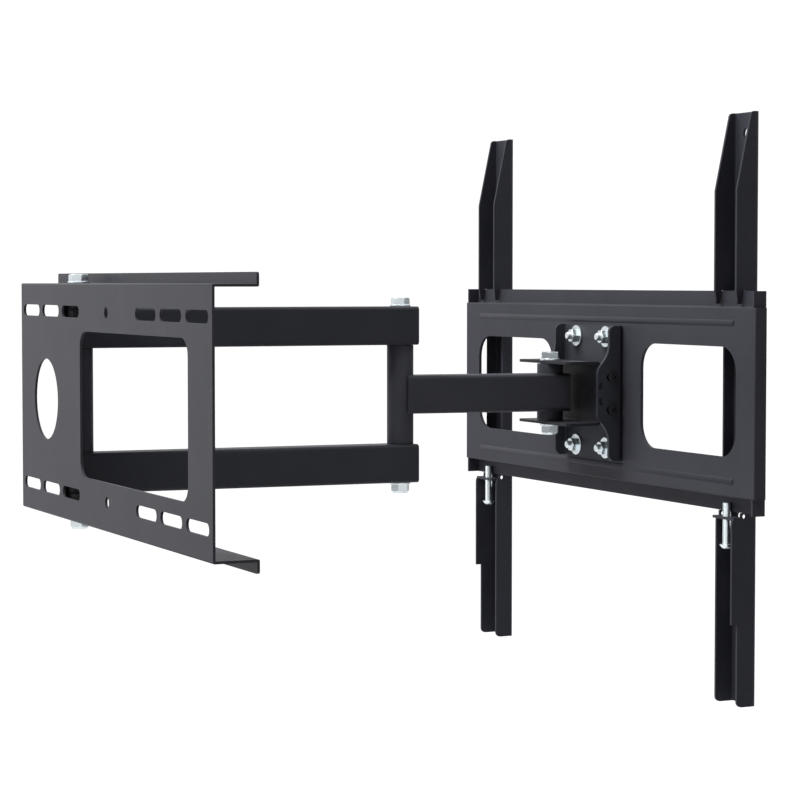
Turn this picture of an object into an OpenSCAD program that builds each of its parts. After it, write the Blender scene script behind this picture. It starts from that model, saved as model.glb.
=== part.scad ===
// Full motion wall mount for a television.
// Millimetres, Z up. X runs along the wall and the television side is -Y.
// The origin is the middle of the wall plate, on its wall face.

/* [Wall plate] */
// width of the wall plate along the wall
wall_width = 429; // [420:1:520]
// height of the wall plate over its two flanges
wall_height = 174; // [170:0.5:190]
// how far the flanges stand off the wall
wall_depth = 31.3; // [29:0.1:40]
// height of the lips turned out from the flanges
wall_lip = 7.5; // [5:0.5:14]
// diameter of the cable hole
cable_hole = 61; // [40:1:70]
// height of the window in the wall plate
wall_window_height = 105; // [90:1:115]

/* [Arms] */
// distance between the wall pivot and the elbow
rear_arm_length = 258; // [200:1:300]
// distance between the elbow and the head pivot
front_arm_length = 126; // [110:1:180]
// height of each rectangular arm tube
tube_height = 30; // [24:0.5:32]
// width of each rectangular arm tube
tube_width = 25; // [24:0.5:26]
// outside diameter of the round pivot sleeves
sleeve_diameter = 20.8; // [16:0.1:20.8]
// angle of the rear arms from straight out, in degrees
rear_arm_angle = 2.4; // [-10:0.1:10]
// angle of the front arm from straight out, in degrees
front_arm_angle = 6.7; // [-15:0.1:15]

/* [Head] */
// outside width of the tilt bracket over its cheeks
tilt_width = 92; // [84:1:110]
// height of the tilt bracket
tilt_height = 107; // [104:1:116]
// distance from the head pivot to the face of the television plate
head_reach = 41; // [41:0.5:50]

/* [Television plate] */
// width of the television plate
tv_width = 471; // [466:1:560]
// height of the television plate over its flanges
tv_height = 139; // [136:0.5:150]
// depth from the face of the plate to the face of its rails
tv_depth = 9.7; // [9:0.1:14]
// height of the rails above and below the plate
rail_height = 12; // [10:0.5:12]

/* [Television brackets] */
// distance from the plate centre to the +X bracket
left_bracket_x = 204; // [120:1:208]
// distance from the plate centre to the -X bracket
right_bracket_x = 188.5; // [120:0.5:208]
// width of each television bracket
bracket_width = 31; // [26:0.5:36]
// spacing of the upper and lower screw holes of each bracket
vesa_spacing = 400; // [390:1:402]

/* [Hidden] */
$fn = 64;

// colours of the preview
zinc_colour = [0.75, 0.78, 0.8];
arm_colour = [0.16, 0.16, 0.18];
wall_colour = [0.33, 0.33, 0.36];
spacer_colour = [0.2, 0.2, 0.22];
plug_colour = [0.06, 0.06, 0.06];
sleeve_colour = [0.18, 0.18, 0.2];
swivel_colour = [0.13, 0.13, 0.14];
pin_colour = [0.1, 0.1, 0.1];
screw_colour = [0.08, 0.08, 0.08];
tilt_colour = [0.12, 0.12, 0.13];
tv_colour = [0.3, 0.3, 0.33];
bracket_colour = [0.15, 0.15, 0.16];

// clearances: nuts on shanks, turning fits and open gaps
thread_gap = 0.02;
running_gap = 0.05;
free_gap = 0.3;

// how far a cutting shape runs past the metal, and how far joined shapes overlap
past = 1;
overlap = 0.3;

// bend radius on the inside of the folded sheets, and the hexagon chamfers
sheet_inner_r = 1.5;
hex_chamfer_share = 0.48;
hex_chamfer_slope = 1.7;
lock_nut_collar_share = 0.45;

// M8 pivot bolts: shank and clearance radius, size across flats, head, lock nut and washer
m8_r = 4;
m8_clear_r = 4.25;
m8_flats = 13;
m8_head_h = 5.3;
m8_hex_h = 5.8;
m8_lock_nut_h = 7;
m8_washer_r = 8;
washer_t = 1.6;

// M6 plate bolts, with the same values
m6_r = 3;
m6_clear_r = 3.3;
m6_flats = 10;
m6_head_h = 4;
m6_nut_h = 5;
m6_washer_r = 8.5;

// how far each hexagon is turned from having a point on +X, in degrees
swivel_head_turn = 26;
swivel_nut_turn = 28;
elbow_nut_turn = 24.5;
wall_nut_turn = 52;

// M5 tilt screws: shank radius, button head and its socket
m5_r = 2.5;
m5_head_r = 3.8;
m5_head_h = 2.2;
m5_socket = 4;
m5_socket_depth = 1.4;

// M6 locking screws: pan head
pan_r = 5.4;
pan_h = 4;

// wall plate
wall_t = 1.8;
wall_bend_outer = 1.2;
wall_bend_inner = 0.4;
wall_lip_corner = 2;
wall_half_h = wall_height / 2;
wall_inner_z = wall_half_h - wall_t;
wall_slot_length = 42.5;
wall_slot_width = 8.5;
wall_slot_z = wall_half_h - 20.5;
wall_slot_first_x = 85.5;
wall_slot_step_x = 50.5;
cable_hole_x = 148.7;
wall_window_left_x = 62.3;
wall_window_right_x = -169.3;
wall_window_corner = 12;
wall_level_hole_r = 4.2;
wall_bolt_tip = 0.5;

// arms
wall_pivot = [115, -15.5];
tube_wall = 2;
tube_corner = 3;
arm_half_gap = 38.9;
arm_top_z = arm_half_gap + tube_height;
arm_end = 11.1;
end_cap_t = 2;
elbow = wall_pivot + rear_arm_length * [-sin(rear_arm_angle), -cos(rear_arm_angle)];
head = elbow + front_arm_length * [-sin(front_arm_angle), -cos(front_arm_angle)];
sleeve_r = sleeve_diameter / 2;
sleeve_bore_r = m8_r + running_gap;
front_arm_start = 3;
spacer_r = 12.3;
plug_gap = 0.02;
plug_length = 5.5;
plug_shell = 3;

// swivel bracket, measured from the face of the television plate
tilt_t = 3;
swivel_t = 2.2;
swivel_inner_z = 23.1;
swivel_outer_z = swivel_inner_z + swivel_t;
swivel_width = tilt_width - 7;
swivel_web_near = head_reach - 20.5;
swivel_web_far = swivel_web_near - swivel_t;
swivel_back = head_reach + 7;
head_sleeve_half = swivel_inner_z - free_gap;
ear_outer_x = tilt_width / 2 - tilt_t - free_gap;
ear_inner_x = ear_outer_x - swivel_t;
ear_front = 6.3;
ear_front_half = 16.5;
ear_half = 22.5;
ear_root_y = swivel_web_far - 2;
ear_root_corner = 5;
ear_tip_corner = 4;
swivel_corner = 4;
swivel_web_bend = 4;

// tilt bracket, measured from the face of the television plate
tilt_axis_y = 10.1;
tilt_pin_r = 3;
pin_head_r = 5;
pin_head_h = 2;
pin_cover = 1;
pin_end_gap = 0.2;
tilt_screw_z = 12.8;
tilt_screw_tail = 3;
tilt_screw_slot = [9.8, 5.8];
tilt_slot_y = 20.3;
tilt_slot_z = 6.3;
tilt_slot = [6, 3.2];
tilt_slot_lean = 12;
cheek_low = 12.7;
cheek_high = 23;
cheek_low_z = 31.5;
cheek_high_z = 19;
cheek_tip_corner = 5;
cheek_hollow_r = 20;
cheek_shoulder_r = 9;
plate_bolt_x = 24.3;
plate_bolt_z = 44.3;
plate_bolt_tip = 13;

// television plate
tv_t = 2.5;
pan_bend_outer = 1;
pan_bend_inner = 0.4;
tv_face_y = head[1] - head_reach;
tv_half_w = tv_width / 2;
tv_half_h = tv_height / 2;
rail_t = 2;
rail_back = tv_depth + rail_t;
rail_half_w = tv_half_w - 4.5;
rail_top_z = tv_half_h + rail_height;
tv_window_inner = 73;
tv_window_outer = tv_half_w - 25.5;
tv_window_half_h = 40.5;
tv_window_corner = 19;
bead_z = 58;
bead_half = tv_half_w - 29;
bead_r = 4;
bead_axis_y = 3.2;
rail_bend = 1;
end_stop_t = 2;
end_stop_front = 0.3;
end_stop_bend = 1.8;

// television brackets, measured from the face of the television plate
bracket_t = 2;
bracket_web = 23.5;
bracket_edge = 3.9;
bracket_low_edge = 6.5;
bracket_guard_edge = 1.5;
bracket_top_z = 212.8;
bracket_bottom_z = -225.4;
bracket_taper = 57.5;
bracket_top_edge = 16.1;
hook_front = 9.2;
hook_back = 12.2;
hook_z = tv_half_h + 2.4;
hook_gap = 0.1;
hook_lead_in = 0.8;
hook_throat = 1.3;
bracket_corner = 4;
hook_lead_in_r = 1;
hook_throat_r = 1.4;
bracket_taper_r = 8;
bracket_top_corner = 3;
tab_z = -85;
tab_near = 2.6;
tab_far = 11;
tab_end_gap = 0.2;
shoulder_y = 9.2;
shoulder_z = -rail_top_z - free_gap;
relief_y = 12.1;
relief_z = -84.3;
relief_r = 1.7;
guard_end_z = -164;
vesa_top_z = 197.2;
vesa_hole_r = 4.5;
web_slot_upper_z = 93.2;
cross_slot_z = -86.5;
cross_slot_length = 21;
cross_slot_width = 8;
web_slot_lower_z = -146.8;
web_slot_length = 36;
lock_screw_y = 6.65;
lock_screw_tip_z = -75;
lock_screw_length = 30.7;

// ---------- points and outlines ----------

function unit(v) = v / norm(v);

// points of the arc that rounds corner b of the path a, b, c
function corner_arc(a, b, c, r, n = 6) =
    let (
        u = unit(a - b),
        w = unit(c - b),
        half = acos(u * w) / 2,
        middle = b + unit(u + w) * r / sin(half),
        start = b + u * r / tan(half) - middle,
        end = b + w * r / tan(half) - middle
    )
    [for (k = [0 : n]) middle + unit(start * (n - k) + end * k) * r];

// outline with a radius at every corner; a radius of 0 keeps the corner sharp
function rounded(points, radii) =
    let (last = len(points) - 1)
    [for (i = [0 : last])
        each radii[i] == 0
            ? [points[i]]
            : corner_arc(
                points[i == 0 ? last : i - 1],
                points[i],
                points[i == last ? 0 : i + 1],
                radii[i]
            )
    ];

module round_rect(w, h, r) {
    square([w, h - 2 * r], center = true);
    square([w - 2 * r, h], center = true);
    for (x = [-1, 1]) {
        for (y = [-1, 1]) {
            translate([x * (w / 2 - r), y * (h / 2 - r)])
                circle(r);
        }
    }
}

module slot_outline(length, width) {
    square([length - width, width], center = true);
    for (x = [-1, 1]) {
        translate([x * (length - width) / 2, 0])
            circle(d = width);
    }
}

// outline drawn in X and Z, pushed from y = from to y = to
module along_y(from, to) {
    translate([0, to, 0])
        rotate([90, 0, 0])
            linear_extrude(to - from)
                children();
}

// outline drawn in Y and Z, pushed from x = from to x = to
module along_x(from, to) {
    translate([from, 0, 0])
        rotate([90, 0, 90])
            linear_extrude(to - from)
                children();
}

// fills or cuts the corner at the origin with a radius, towards +x and +y
module corner_piece(r) {
    difference() {
        square(r);
        translate([r, r])
            circle(r);
    }
}

// outline of a sheet folded into a channel: web on y = 0, opening +y
module channel_outline(half_w, depth, t, inner_r) {
    outer_r = inner_r + t;
    difference() {
        translate([-half_w, 0])
            square([2 * half_w, depth]);
        translate([-half_w + t, t])
            square([2 * (half_w - t), depth]);
        for (side = [0, 1]) {
            mirror([side, 0])
                translate([-half_w, 0])
                    corner_piece(outer_r);
        }
    }
    for (side = [0, 1]) {
        mirror([side, 0])
            translate([-half_w + t, t])
                corner_piece(inner_r);
    }
}

// ---------- fasteners, all along Z with the bearing face at z = 0 ----------

module hex_block(flats, h) {
    chamfer_r = flats * hex_chamfer_share;
    intersection() {
        cylinder(d = flats / cos(30), h = h, $fn = 6);
        cylinder(r1 = chamfer_r + h * hex_chamfer_slope, r2 = chamfer_r, h = h);
    }
}

module hex_bolt(r, flats, head_h, length) {
    tip = r / 5;
    hex_block(flats, head_h);
    translate([0, 0, tip - length])
        cylinder(r = r, h = length);
    translate([0, 0, -length])
        cylinder(r1 = r - tip, r2 = r, h = tip);
}

module m8_bolt(length) {
    hex_bolt(m8_r, m8_flats, m8_head_h, length);
}

module washer(outer_r, hole_r) {
    difference() {
        cylinder(r = outer_r, h = washer_t);
        translate([0, 0, -past])
            cylinder(r = hole_r, h = washer_t + 2 * past);
    }
}

module m8_washer() {
    washer(m8_washer_r, m8_clear_r);
}

module m6_nut() {
    difference() {
        hex_block(m6_flats, m6_nut_h);
        translate([0, 0, -past])
            cylinder(r = m6_r + thread_gap, h = m6_nut_h + 2 * past);
    }
}

module m8_lock_nut() {
    difference() {
        union() {
            hex_block(m8_flats, m8_hex_h);
            cylinder(r = m8_flats * lock_nut_collar_share, h = m8_lock_nut_h);
        }
        translate([0, 0, -past])
            cylinder(r = m8_r + thread_gap, h = m8_lock_nut_h + 2 * past);
    }
}

module m6_pan_screw(length) {
    cylinder(r = m6_r, h = length);
    rotate_extrude() {
        intersection() {
            translate([0, -pan_h])
                square([pan_r, pan_h]);
            translate([0, pan_r - pan_h])
                circle(pan_r);
        }
    }
}

module sleeve(outer_r, bottom, top) {
    translate([0, 0, bottom]) {
        difference() {
            cylinder(r = outer_r, h = top - bottom);
            translate([0, 0, -past])
                cylinder(r = sleeve_bore_r, h = top - bottom + 2 * past);
        }
    }
}

// ---------- places ----------

module at_wall_pivot() {
    translate([wall_pivot[0], wall_pivot[1], 0])
        children();
}

module at_elbow() {
    translate([elbow[0], elbow[1], 0])
        children();
}

module at_head() {
    translate([head[0], head[1], 0])
        children();
}

// frame of the rear arms: +x runs from the wall pivot to the elbow
module along_rear_arm() {
    at_wall_pivot()
        rotate([0, 0, -90 - rear_arm_angle])
            children();
}

// frame of the front arm: +x runs from the elbow to the head pivot
module along_front_arm() {
    at_elbow()
        rotate([0, 0, -90 - front_arm_angle])
            children();
}

// frame of the television plate: y = 0 is the face towards the wall
module at_tv() {
    translate([head[0], tv_face_y, 0])
        children();
}

module both_sides() {
    children();
    mirror([1, 0, 0])
        children();
}

// ---------- wall plate ----------

// web, flanges and lips, drawn with x as the depth and y as the height
module wall_profile() {
    difference() {
        translate([-wall_depth, -wall_half_h])
            square([wall_depth, wall_height]);
        translate([-wall_depth - past, -wall_inner_z])
            square([wall_depth + past - wall_t, 2 * wall_inner_z]);
        for (side = [0, 1]) {
            mirror([0, side]) {
                translate([0, -wall_half_h])
                    mirror([1, 0])
                        corner_piece(wall_bend_outer);
                translate([-wall_depth, wall_inner_z])
                    corner_piece(wall_bend_outer);
            }
        }
    }
    for (side = [0, 1]) {
        mirror([0, side]) {
            translate([-wall_t, -wall_inner_z])
                mirror([1, 0])
                    corner_piece(wall_bend_inner);
            translate([-wall_depth + wall_t, wall_half_h])
                corner_piece(wall_bend_inner);
            translate([-wall_depth, wall_half_h - overlap])
                square([wall_t, wall_lip + overlap]);
        }
    }
}

module wall_plate() {
    lip_z = wall_half_h + wall_lip;
    color(wall_colour)
        difference() {
            along_x(-wall_width / 2, wall_width / 2)
                wall_profile();
            for (row = [-1, 1]) {
                for (side = [-1, 1]) {
                    for (k = [0 : 2]) {
                        slot_x = wall_slot_first_x + k * wall_slot_step_x;
                        translate([side * slot_x, 0, row * wall_slot_z])
                            along_y(-wall_t - past, past)
                                slot_outline(wall_slot_length, wall_slot_width);
                    }
                }
                translate([0, 0, row * wall_slot_z])
                    along_y(-wall_t - past, past)
                        circle(wall_level_hole_r);
                for (end = [-1, 1]) {
                    translate([end * wall_width / 2, 0, row * lip_z])
                        mirror([end > 0 ? 1 : 0, 0, 0])
                            mirror([0, 0, row > 0 ? 1 : 0])
                                along_y(-wall_depth - past, -wall_depth + wall_t + past)
                                    corner_piece(wall_lip_corner);
                }
            }
            translate([cable_hole_x, 0, 0])
                along_y(-wall_t - past, past)
                    circle(d = cable_hole, $fn = 96);
            translate([(wall_window_left_x + wall_window_right_x) / 2, 0, 0])
                along_y(-wall_t - past, past)
                    round_rect(
                        wall_window_left_x - wall_window_right_x,
                        wall_window_height,
                        wall_window_corner
                    );
            at_wall_pivot()
                translate([0, 0, -wall_half_h - past])
                    cylinder(r = m8_clear_r, h = wall_height + 2 * past);
        }
}

module wall_pivot_bolt() {
    length = wall_height + 2 * washer_t + m8_lock_nut_h + wall_bolt_tip;
    color(zinc_colour)
        at_wall_pivot()
            translate([0, 0, wall_half_h + washer_t])
                m8_bolt(length);
}

module wall_pivot_washers() {
    color(zinc_colour)
        at_wall_pivot() {
            translate([0, 0, wall_half_h])
                m8_washer();
            translate([0, 0, -wall_half_h - washer_t])
                m8_washer();
        }
}

module wall_pivot_nut() {
    color(zinc_colour)
        at_wall_pivot()
            translate([0, 0, -wall_half_h - washer_t])
                rotate([0, 0, wall_nut_turn])
                    mirror([0, 0, 1])
                        m8_lock_nut();
}

// ---------- arms ----------

module tube(from, to, bottom) {
    translate([0, 0, bottom + tube_height / 2])
        along_x(from, to)
            difference() {
                round_rect(tube_width, tube_height, tube_corner);
                round_rect(
                    tube_width - 2 * tube_wall,
                    tube_height - 2 * tube_wall,
                    tube_corner - tube_wall
                );
            }
}

// keeps what lies outside the round wall end of a rear arm
module round_end_cut() {
    translate([-tube_width, -tube_width, -arm_top_z - past]) {
        difference() {
            cube([tube_width, 2 * tube_width, 2 * arm_top_z + 2 * past]);
            translate([tube_width, tube_width, -1])
                cylinder(d = tube_width, h = 2 * arm_top_z + 4);
        }
    }
}

module rear_arm(bottom) {
    along_rear_arm()
        difference() {
            tube(-tube_width / 2, rear_arm_length + arm_end, bottom);
            round_end_cut();
            for (x = [0, rear_arm_length]) {
                translate([x, 0, bottom - past])
                    cylinder(r = m8_clear_r, h = tube_height + 2 * past);
            }
        }
}

module rear_arm_upper() {
    color(arm_colour)
        rear_arm(arm_half_gap);
}

module rear_arm_lower() {
    color(arm_colour)
        rear_arm(-arm_top_z);
}

module wall_pivot_sleeve() {
    color(arm_colour)
        at_wall_pivot()
            sleeve(sleeve_r, -arm_half_gap, arm_half_gap);
}

module wall_pivot_spacers() {
    color(spacer_colour)
        at_wall_pivot() {
            sleeve(spacer_r, arm_top_z, wall_inner_z - free_gap);
            sleeve(spacer_r, -wall_inner_z + free_gap, -arm_top_z);
        }
}

// solid outline that slides into a rear arm tube
module plug_outline() {
    round_rect(
        tube_width - 2 * (tube_wall + plug_gap),
        tube_height - 2 * (tube_wall + plug_gap),
        tube_corner - tube_wall
    );
}

// straight plugs at the elbow and curved ones that close the round wall ends
module rear_arm_end_plugs() {
    inner_d = tube_width - 2 * plug_shell;
    color(plug_colour)
        along_rear_arm() {
            for (middle = [-1, 1]) {
                translate([0, 0, middle * (arm_half_gap + tube_height / 2)]) {
                    along_x(rear_arm_length + arm_end - plug_length, rear_arm_length + arm_end)
                        plug_outline();
                    intersection() {
                        difference() {
                            cylinder(d = tube_width, h = tube_height, center = true);
                            cylinder(d = inner_d, h = tube_height + 2 * past, center = true);
                        }
                        along_x(-tube_width / 2 - past, -1)
                            plug_outline();
                    }
                }
            }
        }
}

module elbow_bolt() {
    length = 2 * arm_top_z + 2 * washer_t + m8_lock_nut_h;
    color(zinc_colour)
        at_elbow()
            translate([0, 0, arm_top_z + washer_t])
                m8_bolt(length);
}

module elbow_washers() {
    color(zinc_colour)
        at_elbow() {
            translate([0, 0, arm_top_z])
                m8_washer();
            translate([0, 0, -arm_top_z - washer_t])
                m8_washer();
        }
}

module elbow_nut() {
    color(zinc_colour)
        at_elbow()
            translate([0, 0, -arm_top_z - washer_t])
                rotate([0, 0, elbow_nut_turn])
                    mirror([0, 0, 1])
                        m8_lock_nut();
}

module front_arm_tube() {
    color(arm_colour)
        along_front_arm()
            difference() {
                tube(front_arm_start, front_arm_length + arm_end, -tube_height / 2);
                for (x = [0, front_arm_length]) {
                    translate([x, 0, -tube_height])
                        cylinder(r = sleeve_r + running_gap, h = 2 * tube_height);
                }
            }
}

module front_arm_end_cap() {
    color(arm_colour)
        along_front_arm()
            along_x(front_arm_length + arm_end, front_arm_length + arm_end + end_cap_t)
                round_rect(tube_width, tube_height, tube_corner);
}

module elbow_sleeve() {
    color(sleeve_colour)
        at_elbow()
            sleeve(sleeve_r, -arm_half_gap + free_gap, arm_half_gap - free_gap);
}

module head_sleeve() {
    color(sleeve_colour)
        at_head()
            sleeve(sleeve_r, -head_sleeve_half, head_sleeve_half);
}

// ---------- swivel bracket ----------

module swivel_bracket() {
    ear_outline = rounded(
        [
            [swivel_web_near + past, -ear_half],
            [swivel_web_near + past, ear_half],
            [ear_root_y, ear_half],
            [ear_front, ear_front_half],
            [ear_front, -ear_front_half],
            [ear_root_y, -ear_half]
        ],
        [0, 0, ear_root_corner, ear_tip_corner, ear_tip_corner, ear_root_corner]
    );
    color(swivel_colour)
        at_tv()
            difference() {
                union() {
                    // web and the two flanges round the head sleeve
                    difference() {
                        along_x(-swivel_width / 2, swivel_width / 2)
                            translate([swivel_web_far, 0])
                                rotate(-90)
                                    channel_outline(
                                        swivel_outer_z,
                                        swivel_back - swivel_web_far,
                                        swivel_t,
                                        sheet_inner_r
                                    );
                        both_sides()
                            translate([ear_outer_x - swivel_web_bend, swivel_web_far - past, -ear_half])
                                cube([2 * swivel_web_bend, swivel_t + swivel_web_bend, 2 * ear_half]);
                    }
                    // web and the two ears towards the television
                    intersection() {
                        translate([0, swivel_web_near, -ear_half])
                            linear_extrude(2 * ear_half)
                                mirror([0, 1])
                                    channel_outline(
                                        ear_outer_x,
                                        swivel_web_near - ear_front,
                                        swivel_t,
                                        sheet_inner_r
                                    );
                        along_x(-tilt_width / 2, tilt_width / 2)
                            polygon(ear_outline);
                    }
                }
                // bolt holes in the flanges
                translate([0, head_reach, -swivel_outer_z - past])
                    cylinder(r = m8_clear_r, h = 2 * swivel_outer_z + 2 * past);
                // rounded corners of the flanges
                for (side = [0, 1]) {
                    mirror([side, 0, 0])
                        translate([swivel_width / 2, swivel_back, -swivel_outer_z - past])
                            rotate([0, 0, 180])
                                linear_extrude(2 * swivel_outer_z + 2)
                                    corner_piece(swivel_corner);
                }
                // pin and screw holes in the ears
                translate([0, tilt_axis_y, 0])
                    along_x(-tilt_width / 2, tilt_width / 2) {
                        circle(tilt_pin_r + running_gap);
                        for (z = [-1, 1]) {
                            translate([0, z * tilt_screw_z])
                                circle(m5_r + running_gap);
                        }
                    }
            }
}

module swivel_bolt() {
    length = 2 * (swivel_outer_z + washer_t) + m8_lock_nut_h;
    color(zinc_colour)
        at_head()
            translate([0, 0, swivel_outer_z + washer_t])
                rotate([0, 0, swivel_head_turn])
                    m8_bolt(length);
}

module swivel_washers() {
    color(zinc_colour)
        at_head() {
            translate([0, 0, swivel_outer_z])
                m8_washer();
            translate([0, 0, -swivel_outer_z - washer_t])
                m8_washer();
        }
}

module swivel_nut() {
    color(zinc_colour)
        at_head()
            translate([0, 0, -swivel_outer_z - washer_t])
                rotate([0, 0, swivel_nut_turn])
                    mirror([0, 0, 1])
                        m8_lock_nut();
}

module tilt_pivot_pins() {
    pin_length = tilt_width / 2 - ear_inner_x + pin_head_h - pin_cover - pin_end_gap;
    color(pin_colour)
        at_tv()
            both_sides()
                translate([ear_inner_x - pin_head_h, tilt_axis_y, 0])
                    rotate([0, 90, 0]) {
                        cylinder(r = pin_head_r, h = pin_head_h);
                        cylinder(r = tilt_pin_r, h = pin_length);
                    }
}

module tilt_lock_screws() {
    head_x = tilt_width / 2 + free_gap;
    shank_h = head_x + past - ear_inner_x + tilt_screw_tail;
    color(screw_colour)
        at_tv()
            both_sides()
                for (z = [-1, 1]) {
                    translate([0, tilt_axis_y, z * tilt_screw_z])
                        rotate([0, 90, 0])
                            difference() {
                                union() {
                                    translate([0, 0, ear_inner_x - tilt_screw_tail])
                                        cylinder(r = m5_r, h = shank_h);
                                    translate([0, 0, head_x])
                                        cylinder(r = m5_head_r, h = m5_head_h);
                                }
                                translate([0, 0, head_x + m5_head_h - m5_socket_depth])
                                    cylinder(
                                        d = m5_socket / cos(30),
                                        h = m5_socket_depth + past,
                                        $fn = 6
                                    );
                            }
                }
}

// ---------- tilt bracket and television plate ----------

module tilt_bracket() {
    half_h = tilt_height / 2;
    outline = rounded(
        [
            [0, -half_h],
            [cheek_low, -half_h],
            [cheek_low, -cheek_low_z],
            [cheek_high, -cheek_high_z],
            [cheek_high, cheek_high_z],
            [cheek_low, cheek_low_z],
            [cheek_low, half_h],
            [0, half_h]
        ],
        [
            0,
            cheek_tip_corner,
            cheek_hollow_r,
            cheek_shoulder_r,
            cheek_shoulder_r,
            cheek_hollow_r,
            cheek_tip_corner,
            0
        ]
    );
    color(tilt_colour)
        at_tv()
            difference() {
                intersection() {
                    translate([0, 0, -half_h])
                        linear_extrude(tilt_height)
                            channel_outline(tilt_width / 2, cheek_high + past, tilt_t, sheet_inner_r);
                    along_x(-tilt_width / 2 - past, tilt_width / 2 + past)
                        polygon(outline);
                }
                // blind pin holes, closed on the outside
                along_x(-tilt_width / 2 + pin_cover, tilt_width / 2 - pin_cover)
                    translate([tilt_axis_y, 0])
                        circle(tilt_pin_r + running_gap);
                along_x(-tilt_width / 2 - past, tilt_width / 2 + past) {
                    for (z = [-1, 1]) {
                        translate([tilt_axis_y, z * tilt_screw_z])
                            slot_outline(tilt_screw_slot[0], tilt_screw_slot[1]);
                        translate([tilt_slot_y, z * tilt_slot_z])
                            rotate(90 + z * tilt_slot_lean)
                                slot_outline(tilt_slot[0], tilt_slot[1]);
                    }
                }
                plate_bolt_holes();
            }
}

module plate_bolt_holes() {
    for (x = [-1, 1]) {
        for (z = [-1, 1]) {
            translate([x * plate_bolt_x, 0, z * plate_bolt_z])
                along_y(-tv_t - past, tilt_t + past)
                    circle(m6_clear_r);
        }
    }
}

// depth and height of the pan less the inset all round, with rounded bends
module pan_outline_z(inset, bend) {
    half = tv_half_h - inset;
    difference() {
        translate([-tv_depth - inset, -half])
            square([tv_depth, 2 * half]);
        for (side = [0, 1]) {
            mirror([0, side])
                translate([-inset, -half])
                    mirror([1, 0])
                        corner_piece(bend);
        }
    }
}

// width and depth of the pan less the inset all round, with rounded bends
module pan_outline_x(inset, bend) {
    half = tv_half_w - inset;
    difference() {
        translate([-half, -tv_depth - inset])
            square([2 * half, tv_depth]);
        for (side = [0, 1]) {
            mirror([side, 0])
                translate([-half, -inset])
                    mirror([0, 1])
                        corner_piece(bend);
        }
    }
}

module pan_block(inset, bend) {
    intersection() {
        along_x(-tv_half_w + inset, tv_half_w - inset)
            pan_outline_z(inset, bend);
        translate([0, 0, -tv_half_h + inset])
            linear_extrude(tv_height - 2 * inset)
                pan_outline_x(inset, bend);
    }
}

module tv_plate() {
    window_w = tv_window_outer - tv_window_inner;
    color(tv_colour)
        at_tv()
            difference() {
                union() {
                    difference() {
                        pan_block(0, pan_bend_outer);
                        pan_block(tv_t, pan_bend_inner);
                    }
                    // rails, with the bend where they leave the pan
                    for (side = [0, 1]) {
                        mirror([0, 0, side])
                            along_x(-rail_half_w, rail_half_w) {
                                translate([-rail_back, tv_half_h - tv_t])
                                    square([rail_t, rail_height + tv_t]);
                                translate([-tv_depth, tv_half_h])
                                    corner_piece(rail_bend);
                            }
                    }
                    // two beads above and below the windows
                    for (z = [-1, 1]) {
                        translate([0, 0, z * bead_z])
                            intersection() {
                                translate([-bead_half, -bead_axis_y, 0])
                                    rotate([0, 90, 0])
                                        cylinder(r = bead_r, h = 2 * bead_half);
                                translate([-bead_half, -past, -bead_r])
                                    cube([2 * bead_half, bead_r, 2 * bead_r]);
                            }
                    }
                }
                both_sides()
                    translate([(tv_window_inner + tv_window_outer) / 2, 0, 0])
                        along_y(-tv_t - past, past)
                            round_rect(window_w, 2 * tv_window_half_h, tv_window_corner);
                plate_bolt_holes();
            }
}

module at_plate_bolts(y) {
    // fastener axis along +y, away from the television
    at_tv()
        for (x = [-1, 1]) {
            for (z = [-1, 1]) {
                translate([x * plate_bolt_x, y, z * plate_bolt_z])
                    rotate([-90, 0, 0])
                        children();
            }
        }
}

module plate_bolts() {
    color(zinc_colour)
        at_plate_bolts(-tv_t)
            mirror([0, 0, 1])
                hex_bolt(m6_r, m6_flats, m6_head_h, tv_t + plate_bolt_tip);
}

module plate_washers() {
    color(zinc_colour)
        at_plate_bolts(tilt_t)
            washer(m6_washer_r, m6_clear_r);
}

module plate_nuts() {
    color(zinc_colour)
        at_plate_bolts(tilt_t + washer_t)
            m6_nut();
}

// ears across the rail ends that keep the brackets on the rails
module rail_end_stops() {
    color(spacer_colour)
        at_tv()
            both_sides()
                for (side = [0, 1]) {
                    mirror([0, 0, side])
                        translate([rail_half_w, 0, tv_half_h + running_gap])
                            linear_extrude(rail_height - running_gap)
                                difference() {
                                    translate([0, -rail_back])
                                        square([end_stop_t, rail_back - end_stop_front]);
                                    translate([end_stop_t, -rail_back])
                                        mirror([1, 0])
                                            corner_piece(end_stop_bend);
                                }
                }
}

// ---------- television brackets and their screws ----------

// outline of one leg of a bracket, in depth and height; the guard is the deeper part under the tab
module bracket_leg(guard) {
    edge = guard ? bracket_guard_edge : bracket_low_edge;
    foot = [
        [-bracket_web, bracket_bottom_z],
        [-bracket_low_edge, bracket_bottom_z]
    ];
    guard_end = [
        [-bracket_low_edge, guard_end_z],
        [-edge, guard_end_z]
    ];
    body = [
        [-edge, tab_z],
        [-shoulder_y, tab_z],
        [-shoulder_y, shoulder_z],
        [-hook_back, shoulder_z],
        [-hook_back, rail_top_z + hook_gap],
        [-hook_front, rail_top_z + hook_gap],
        [-hook_front + hook_lead_in, hook_z],
        [-bracket_edge - hook_throat, hook_z],
        [-bracket_edge, rail_top_z],
        [-bracket_edge, bracket_top_z - bracket_taper],
        [-bracket_top_edge, bracket_top_z],
        [-bracket_web, bracket_top_z]
    ];
    body_radii = [
        bracket_corner,
        0,
        0,
        0,
        0,
        0,
        hook_lead_in_r,
        hook_throat_r,
        0,
        bracket_taper_r,
        bracket_top_corner,
        0
    ];
    polygon(
        rounded(
            concat(foot, guard ? guard_end : [], body),
            concat([0, bracket_corner], guard ? [0, 0] : [], body_radii)
        )
    );
}

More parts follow.
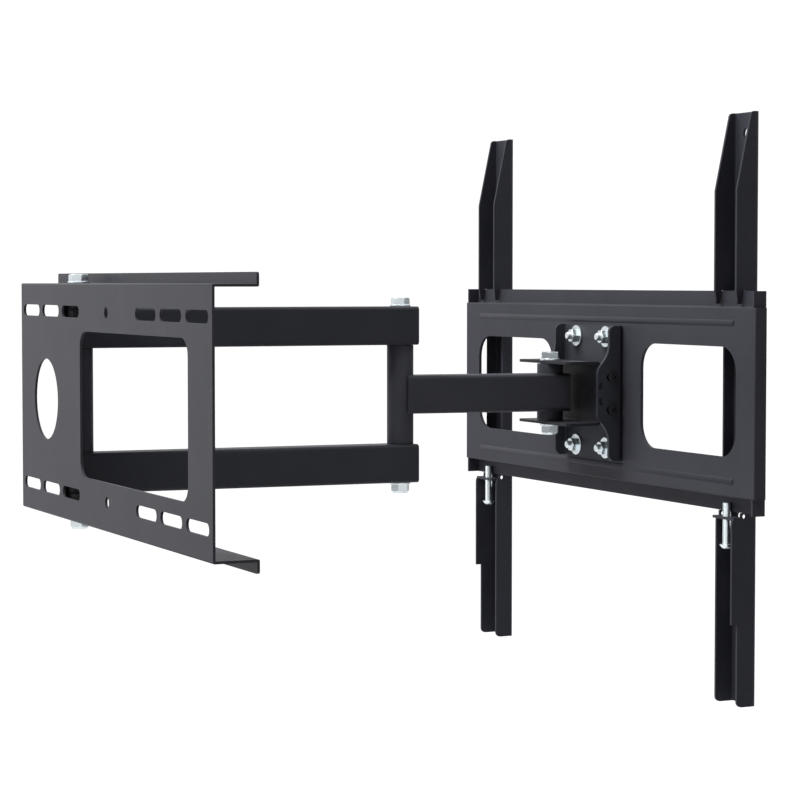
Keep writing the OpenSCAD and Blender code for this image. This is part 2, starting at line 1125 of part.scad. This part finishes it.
// drawn with the outer leg towards +X; y and z are the plate's own
module tv_bracket() {
    half = bracket_width / 2;
    length = bracket_top_z - bracket_bottom_z;
    difference() {
        intersection() {
            translate([0, -bracket_web, bracket_bottom_z])
                linear_extrude(length)
                    channel_outline(half, bracket_web, bracket_t, sheet_inner_r);
            union() {
                along_x(-half - past, 0)
                    bracket_leg(false);
                along_x(0, half + past)
                    bracket_leg(true);
            }
        }
        // screw holes and slots in the web
        for (z = [vesa_top_z, vesa_top_z - vesa_spacing]) {
            translate([0, 0, z])
                along_y(-bracket_web - past, -bracket_web + bracket_t + past)
                    circle(vesa_hole_r);
        }
        for (z = [web_slot_upper_z, web_slot_lower_z]) {
            translate([0, 0, z])
                along_y(-bracket_web - past, -bracket_web + bracket_t + past)
                    rotate(90)
                        slot_outline(web_slot_length, 2 * vesa_hole_r);
        }
        translate([0, 0, cross_slot_z])
            along_y(-bracket_web - past, -bracket_web + bracket_t + past)
                slot_outline(cross_slot_length, cross_slot_width);
        // relief hole through both legs beside the tab
        along_x(-half - past, half + past)
            translate([-relief_y, relief_z])
                circle(relief_r);
    }
    // tab folded in from the outer leg, with the screw hole
    difference() {
        translate([-half + bracket_t + tab_end_gap, -tab_far, tab_z - bracket_t])
            cube([bracket_width - bracket_t - tab_end_gap, tab_far - tab_near, bracket_t]);
        translate([0, -lock_screw_y, tab_z - bracket_t - past])
            cylinder(r = m6_r + running_gap, h = bracket_t + 2 * past);
    }
}

module left_tv_bracket() {
    color(bracket_colour)
        at_tv()
            translate([left_bracket_x, 0, 0])
                tv_bracket();
}

module right_tv_bracket() {
    color(bracket_colour)
        at_tv()
            translate([-right_bracket_x, 0, 0])
                mirror([1, 0, 0])
                    tv_bracket();
}

module locking_screw(x) {
    color(zinc_colour)
        at_tv()
            translate([x, -lock_screw_y, lock_screw_tip_z - lock_screw_length])
                m6_pan_screw(lock_screw_length);
}

module left_locking_screw() {
    locking_screw(left_bracket_x);
}

module right_locking_screw() {
    locking_screw(-right_bracket_x);
}

wall_plate();
wall_pivot_bolt();
wall_pivot_washers();
wall_pivot_nut();
rear_arm_upper();
rear_arm_lower();
wall_pivot_sleeve();
wall_pivot_spacers();
rear_arm_end_plugs();
elbow_bolt();
elbow_washers();
elbow_nut();
front_arm_tube();
elbow_sleeve();
head_sleeve();
front_arm_end_cap();
swivel_bracket();
swivel_bolt();
swivel_washers();
swivel_nut();
tilt_pivot_pins();
tilt_lock_screws();
tilt_bracket();
tv_plate();
plate_bolts();
plate_washers();
plate_nuts();
rail_end_stops();
left_tv_bracket();
right_tv_bracket();
left_locking_screw();
right_locking_screw();
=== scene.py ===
import math

import bmesh
import bpy
from mathutils import Matrix, Vector


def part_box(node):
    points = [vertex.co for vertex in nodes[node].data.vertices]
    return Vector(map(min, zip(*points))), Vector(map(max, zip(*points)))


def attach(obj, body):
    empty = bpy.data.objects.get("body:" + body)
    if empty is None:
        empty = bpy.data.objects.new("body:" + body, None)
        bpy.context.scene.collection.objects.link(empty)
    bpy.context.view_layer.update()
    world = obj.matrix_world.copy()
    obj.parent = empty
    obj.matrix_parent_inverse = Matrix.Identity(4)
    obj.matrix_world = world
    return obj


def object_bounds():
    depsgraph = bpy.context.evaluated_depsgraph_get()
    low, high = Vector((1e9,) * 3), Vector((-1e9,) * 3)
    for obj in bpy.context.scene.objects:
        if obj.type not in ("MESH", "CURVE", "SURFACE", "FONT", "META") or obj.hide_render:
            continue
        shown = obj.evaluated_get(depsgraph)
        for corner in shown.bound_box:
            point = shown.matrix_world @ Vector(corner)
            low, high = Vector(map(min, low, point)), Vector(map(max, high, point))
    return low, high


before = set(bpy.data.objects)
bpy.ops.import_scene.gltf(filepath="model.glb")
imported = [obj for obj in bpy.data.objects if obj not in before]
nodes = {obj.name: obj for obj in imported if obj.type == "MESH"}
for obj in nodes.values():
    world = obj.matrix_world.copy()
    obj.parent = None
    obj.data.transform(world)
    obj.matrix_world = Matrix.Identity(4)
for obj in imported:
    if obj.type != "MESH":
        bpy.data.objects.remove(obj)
cad_low, cad_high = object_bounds()

# ---------------------------------------------------------------- camera

CAMERA_AT = Vector((-1.6256, 0.5170, 0.0888))
CAMERA_TURN = math.radians(24.55)
CAMERA_DOWN = math.radians(2.81)
CAMERA_LENS = 109.2


def make_camera():
    data = bpy.data.cameras.new("camera")
    data.lens = CAMERA_LENS
    data.sensor_width = 36
    data.clip_start, data.clip_end = 0.01, 60
    camera = bpy.data.objects.new("camera", data)
    forward = Vector((
        math.cos(CAMERA_TURN) * math.cos(CAMERA_DOWN),
        -math.sin(CAMERA_TURN) * math.cos(CAMERA_DOWN),
        -math.sin(CAMERA_DOWN),
    ))
    camera.location = CAMERA_AT
    camera.rotation_mode = "QUATERNION"
    camera.rotation_quaternion = forward.to_track_quat("-Z", "Y")
    bpy.context.scene.collection.objects.link(camera)
    bpy.context.scene.camera = camera


# ---------------------------------------------------------------- materials

# paint: lightest and darkest mottle, its noise scale, and how the gloss changes
MOTTLE_DARK = 0.93
MOTTLE_LIGHT = 1.07
MOTTLE_SCALE = 22
SPECK_SCALE = 2.2
PEEL_DEPTH = 0.00010
WAVE_DEPTH = 0.0006
WAVE_SCALE = 1 / 9
STROKE_SQUEEZE = (6, 6, 0.8)
STROKE_SCALE = 14

# how much glossier the rubbed places of the paint are, and how rough its clear coat is
RUB_GLOSS = 0.06
COAT_ROUGH = 0.25

# zinc plate and moulded plastic
CLOUD_SCALE = 90
MARK_SCALE = 900
MARK_DEPTH = 0.00004
DULL_ZINC = 0.93
GRAIN_SCALE = 1800
PLASTIC_CLOUD_SCALE = 60
PLASTIC_LIGHT = 1.4
GRAIN_DEPTH = 0.00008

# edges: doubles merged before the bevel, and the angle that counts as an edge
WELD_DISTANCE = 0.000002
EDGE_ANGLE = math.radians(38)


def new_material(name):
    material = bpy.data.materials.new(name)
    material.use_nodes = True
    tree = material.node_tree
    shader = tree.nodes["Principled BSDF"]
    return material, tree, shader


def link(tree, a, b):
    tree.links.new(a, b)


def noise(tree, coords, scale, detail=3.0, rough=0.5):
    n = tree.nodes.new("ShaderNodeTexNoise")
    n.inputs["Scale"].default_value = scale
    n.inputs["Detail"].default_value = detail
    n.inputs["Roughness"].default_value = rough
    link(tree, coords, n.inputs["Vector"])
    return n.outputs["Fac"]


def remap(tree, value, low, high, from_low=0.3, from_high=0.7):
    m = tree.nodes.new("ShaderNodeMapRange")
    m.inputs["From Min"].default_value = from_low
    m.inputs["From Max"].default_value = from_high
    m.inputs["To Min"].default_value = low
    m.inputs["To Max"].default_value = high
    link(tree, value, m.inputs["Value"])
    return m.outputs["Result"]


def blend_colours(tree, factor, a, b):
    m = tree.nodes.new("ShaderNodeMix")
    m.data_type = "RGBA"
    m.inputs["A"].default_value = (*a, 1)
    m.inputs["B"].default_value = (*b, 1)
    link(tree, factor, m.inputs["Factor"])
    return m.outputs["Result"]


def object_coords(tree):
    return tree.nodes.new("ShaderNodeTexCoord").outputs["Object"]


def stretched(tree, coords):
    """Coordinates stretched along Z, so that a noise turns into long faint strokes."""
    m = tree.nodes.new("ShaderNodeMapping")
    m.inputs["Scale"].default_value = STROKE_SQUEEZE
    link(tree, coords, m.inputs["Vector"])
    return m.outputs["Vector"]


def subtract(tree, a, b):
    m = tree.nodes.new("ShaderNodeMath")
    m.operation = "SUBTRACT"
    link(tree, a, m.inputs[0])
    link(tree, b, m.inputs[1])
    return m.outputs["Value"]


def bump(tree, height, strength, distance, below=None):
    b = tree.nodes.new("ShaderNodeBump")
    b.inputs["Strength"].default_value = strength
    b.inputs["Distance"].default_value = distance
    link(tree, height, b.inputs["Height"])
    if below is not None:
        link(tree, below, b.inputs["Normal"])
    return b.outputs["Normal"]


def powder_coat(name, colour, rough=0.45, grain=900, specular=0.10, coat=0.0):
    """Satin powder coat: a fine orange peel, a faint mottle and small changes of gloss."""
    material, tree, shader = new_material(name)
    coords = object_coords(tree)
    mottle = noise(tree, coords, MOTTLE_SCALE, 4)
    speck = noise(tree, coords, grain * SPECK_SCALE, 2)
    strokes = noise(tree, stretched(tree, coords), STROKE_SCALE, 5, 0.7)
    rubs = remap(tree, strokes, 0, RUB_GLOSS, 0.55, 0.75)
    shade = [c * MOTTLE_DARK for c in colour]
    light = [c * MOTTLE_LIGHT for c in colour]
    mixed = blend_colours(tree, remap(tree, mottle, 0, 1), shade, light)
    link(tree, mixed, shader.inputs["Base Color"])
    satin = remap(tree, speck, rough - 0.05, rough + 0.07)
    link(tree, subtract(tree, satin, rubs), shader.inputs["Roughness"])
    shader.inputs["Specular IOR Level"].default_value = specular
    shader.inputs["Coat Weight"].default_value = coat
    shader.inputs["Coat Roughness"].default_value = COAT_ROUGH
    peel = bump(tree, noise(tree, coords, grain, 2), 0.08, PEEL_DEPTH)
    wave = bump(tree, noise(tree, coords, grain * WAVE_SCALE, 1), 0.05, WAVE_DEPTH, peel)
    link(tree, wave, shader.inputs["Normal"])
    return material


def zinc(name, colour=(0.82, 0.89, 0.92), rough=0.30):
    """Bright zinc plate: cool and smooth, with a slightly cloudy gloss."""
    material, tree, shader = new_material(name)
    coords = object_coords(tree)
    cloud = noise(tree, coords, CLOUD_SCALE, 3)
    marks = noise(tree, coords, MARK_SCALE, 2)
    dull = [c * DULL_ZINC for c in colour]
    mixed = blend_colours(tree, remap(tree, cloud, 0, 1), dull, colour)
    link(tree, mixed, shader.inputs["Base Color"])
    shader.inputs["Metallic"].default_value = 1.0
    link(tree, remap(tree, cloud, rough - 0.03, rough + 0.06), shader.inputs["Roughness"])
    link(tree, bump(tree, marks, 0.03, MARK_DEPTH), shader.inputs["Normal"])
    return material


def moulded_plastic(name, colour, rough=0.55):
    """Matt black plastic with a fine grain and a slight cloud in its colour."""
    material, tree, shader = new_material(name)
    coords = object_coords(tree)
    grain = noise(tree, coords, GRAIN_SCALE, 2)
    cloud = noise(tree, coords, PLASTIC_CLOUD_SCALE, 3)
    light = [c * PLASTIC_LIGHT for c in colour]
    mixed = blend_colours(tree, remap(tree, cloud, 0, 1), colour, light)
    link(tree, mixed, shader.inputs["Base Color"])
    link(tree, remap(tree, grain, rough - 0.08, rough + 0.10), shader.inputs["Roughness"])
    link(tree, bump(tree, grain, 0.2, GRAIN_DEPTH), shader.inputs["Normal"])
    return material


def dress(name, material, bevel):
    """Gives a CAD node its finish and a small real radius on its sharp edges."""
    obj = nodes[name]
    obj.data.materials.clear()
    obj.data.materials.append(material)
    weld = obj.modifiers.new("weld", "WELD")
    weld.merge_threshold = WELD_DISTANCE
    edge = obj.modifiers.new("edge", "BEVEL")
    edge.width = bevel
    edge.segments = 2
    edge.limit_method = "ANGLE"
    edge.angle_limit = EDGE_ANGLE
    edge.use_clamp_overlap = True
    edge.harden_normals = False


# All these greys stand for one black paint. They are lit and shaded copies of it, fitted part by part
# to the light that falls on each part. The front arm and elbow sleeve greys carry painted light. The
# swivel bracket's grey carries painted shade from its top flange. The other greys differ from each
# other by smaller amounts of painted light and shade.
WALL_PAINT = powder_coat("wall_paint", (0.053, 0.054, 0.066), 0.46, coat=0.16)
ARM_PAINT = powder_coat("arm_paint", (0.060, 0.062, 0.075), 0.44)
FRONT_ARM_LIT_PAINT = powder_coat("front_arm_lit_paint", (0.074, 0.076, 0.090), 0.44)
SLEEVE_LIT_PAINT = powder_coat("sleeve_lit_paint", (0.092, 0.094, 0.112), 0.44)
HEAD_PAINT = powder_coat("head_paint", (0.066, 0.070, 0.085), 0.42)
SWIVEL_SHADED_PAINT = powder_coat("swivel_shaded_paint", (0.036, 0.037, 0.044), 0.42)
TV_PAINT = powder_coat("tv_paint", (0.064, 0.065, 0.080), 0.46)
BRACKET_PAINT = powder_coat("bracket_paint", (0.060, 0.062, 0.077), 0.42)
ZINC = zinc("zinc")
BLACK_STEEL = powder_coat("black_steel", (0.016, 0.016, 0.018), 0.35, 2400, 0.4)
BLACK_PLASTIC = moulded_plastic("black_plastic", (0.010, 0.010, 0.011))

FINISHES = (
    (WALL_PAINT, 0.0003, ("wall_plate",)),
    (ARM_PAINT, 0.0004, ("rear_arm_upper", "rear_arm_lower")),
    (FRONT_ARM_LIT_PAINT, 0.0004, ("front_arm_tube", "front_arm_end_cap")),
    (ARM_PAINT, 0.0003, ("wall_pivot_sleeve", "head_sleeve")),
    (SLEEVE_LIT_PAINT, 0.0003, ("elbow_sleeve",)),
    (HEAD_PAINT, 0.0004, ("tilt_bracket",)),
    (SWIVEL_SHADED_PAINT, 0.0004, ("swivel_bracket",)),
    (TV_PAINT, 0.0004, ("tv_plate", "rail_end_stops")),
    (BRACKET_PAINT, 0.0003, ("left_tv_bracket", "right_tv_bracket")),
    (BLACK_PLASTIC, 0.0004, ("rear_arm_end_plugs", "wall_pivot_spacers")),
    (BLACK_STEEL, 0.0003, ("tilt_pivot_pins", "tilt_lock_screws")),
    (ZINC, 0.0003, ("wall_pivot_bolt", "wall_pivot_washers", "wall_pivot_nut")),
    (ZINC, 0.0003, ("elbow_bolt", "elbow_washers", "elbow_nut")),
    (ZINC, 0.0003, ("swivel_bolt", "swivel_washers", "swivel_nut")),
    (ZINC, 0.0003, ("plate_bolts", "plate_washers", "plate_nuts")),
    (ZINC, 0.0002, ("left_locking_screw", "right_locking_screw")),
)


# ---------------------------------------------------------------- threads

# metres; the half width is in pitches, and the steps are counted per turn
M6_RADIUS = 0.003
M6_PITCH = 0.001
THREAD_CREST = 0.00004
THREAD_ROOT = 0.00003
THREAD_HALF_WIDTH = 0.42
THREAD_STEPS = 28
LOCK_HEAD_H = 0.004
PLATE_WASHER_RADIUS = 0.0085
PLATE_BOLT_CHAMFER = 0.0006


def add_thread(name, body, place, length):
    """A fine ridge wound round an M6 shank, from the origin of place along its +Z.

    It rises over its first half turn and sinks over its last.
    """
    mesh_builder = bmesh.new()
    root = M6_RADIUS - THREAD_ROOT
    steps = round(length / M6_PITCH * THREAD_STEPS)
    before = None
    for step in range(steps + 1):
        angle = math.tau * step / THREAD_STEPS
        fade = min(1, 2 * step / THREAD_STEPS, 2 * (steps - step) / THREAD_STEPS)
        crest = root + (THREAD_CREST + THREAD_ROOT) * fade
        middle = length * step / steps
        half = THREAD_HALF_WIDTH * M6_PITCH
        now = []
        for radius, rise in ((root, -half), (crest, 0), (root, half)):
            point = Vector((radius * math.cos(angle), radius * math.sin(angle), middle + rise))
            now.append(mesh_builder.verts.new(place @ point))
        if before:
            for low, high in ((0, 1), (1, 2)):
                mesh_builder.faces.new((before[low], now[low], now[high], before[high]))
        before = now
    bmesh.ops.recalc_face_normals(mesh_builder, faces=mesh_builder.faces)
    mesh = bpy.data.meshes.new(name)
    mesh_builder.to_mesh(mesh)
    mesh_builder.free()
    mesh.materials.append(ZINC)
    thread = bpy.data.objects.new(name, mesh)
    bpy.context.scene.collection.objects.link(thread)
    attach(thread, body)


def lock_screw_threads():
    """Threads on the two locking screws, from under the head to the tip."""
    for side in ("left", "right"):
        low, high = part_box(side + "_locking_screw")
        start = (low + high) / 2
        start.z = low.z + LOCK_HEAD_H + M6_PITCH
        length = high.z - M6_PITCH / 2 - start.z
        add_thread(side + "_locking_screw_thread", side + "_screw", Matrix.Translation(start), length)


def plate_bolt_threads():
    """Threads on the four bolt ends that stand out of the plate nuts."""
    low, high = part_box("plate_washers")
    nut_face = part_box("plate_nuts")[1][1]
    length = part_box("plate_bolts")[1][1] - PLATE_BOLT_CHAMFER - nut_face
    turn = Matrix.Rotation(-math.pi / 2, 4, "X")
    inset = PLATE_WASHER_RADIUS
    for across, x in (("left", high[0] - inset), ("right", low[0] + inset)):
        for level, z in (("upper", high[2] - inset), ("lower", low[2] + inset)):
            name = "plate_bolt_thread_" + across + "_" + level
            add_thread(name, "tilt_head", Matrix.Translation((x, nut_face, z)) @ turn, length)


# ---------------------------------------------------------------- stage

FLOOR_DROP = 0.9
FLOOR_HALF_WIDTH = 25
FLOOR_COLOUR = (0.62, 0.62, 0.63, 1)

# glow for diffuse, glossy and camera rays
FLOOR_GLOW = (0.0, 0.65, 1.0)
WORLD_GLOW = (0.10, 0.9, 1.05)

# name, offset from the middle of the mount, size in metres, power in watts
LAMPS = (
    ("key", (0.4, 1.5, 2.7), (2.4, 1.2), 104),
    ("front", (0.5, 2.7, 0.5), (2.2, 0.4), 7),
    ("top", (-0.1, 0.2, 2.7), (3.0, 3.0), 6),
    ("rear", (-0.4, -2.0, 2.0), (2.4, 1.2), 12),
)


def ray_strength(tree, diffuse, glossy, camera):
    """Strength of a glow as plain diffuse, glossy and camera rays meet it."""
    path = tree.nodes.new("ShaderNodeLightPath")
    total = None
    for socket, extra in (("Is Glossy Ray", glossy - diffuse), ("Is Camera Ray", camera - diffuse)):
        step = tree.nodes.new("ShaderNodeMath")
        step.operation = "MULTIPLY_ADD"
        step.inputs[1].default_value = extra
        step.inputs[2].default_value = diffuse
        link(tree, path.outputs[socket], step.inputs[0])
        if total is not None:
            link(tree, total, step.inputs[2])
        total = step.outputs["Value"]
    return total


def make_floor():
    mesh = bpy.data.meshes.new("floor")
    half = FLOOR_HALF_WIDTH
    z = cad_low.z - FLOOR_DROP
    corners = [(-half, -half, z), (half, -half, z), (half, half, z), (-half, half, z)]
    mesh.from_pydata(corners, [], [(0, 1, 2, 3)])
    floor = bpy.data.objects.new("floor", mesh)
    bpy.context.scene.collection.objects.link(floor)
    material, tree, shader = new_material("floor")
    shader.inputs["Base Color"].default_value = FLOOR_COLOUR
    shader.inputs["Roughness"].default_value = 0.9
    shader.inputs["Specular IOR Level"].default_value = 0.0
    shader.inputs["Emission Color"].default_value = (1, 1, 1, 1)
    link(tree, ray_strength(tree, *FLOOR_GLOW), shader.inputs["Emission Strength"])
    mesh.materials.append(material)


def area_light(name, at, target, size, power):
    data = bpy.data.lights.new(name, "AREA")
    data.shape = "RECTANGLE"
    data.size, data.size_y = size
    data.energy = power
    lamp = bpy.data.objects.new(name, data)
    lamp.location = at
    lamp.rotation_mode = "QUATERNION"
    lamp.rotation_quaternion = (Vector(target) - Vector(at)).to_track_quat("-Z", "Y")
    bpy.context.scene.collection.objects.link(lamp)


def make_world():
    world = bpy.data.worlds.new("studio")
    bpy.context.scene.world = world
    world.use_nodes = True
    tree = world.node_tree
    background = tree.nodes["Background"]
    background.inputs["Color"].default_value = (1, 1, 1, 1)
    link(tree, ray_strength(tree, *WORLD_GLOW), background.inputs["Strength"])


def make_stage():
    make_floor()
    make_world()
    centre = (cad_low + cad_high) / 2
    for name, offset, size, power in LAMPS:
        area_light(name, centre + Vector(offset), centre, size, power)
    bpy.context.scene.view_settings.view_transform = "Standard"


# ---------------------------------------------------------------- build

make_camera()
for finish, radius, names in FINISHES:
    for each in names:
        dress(each, finish, radius)
lock_screw_threads()
plate_bolt_threads()
make_stage()
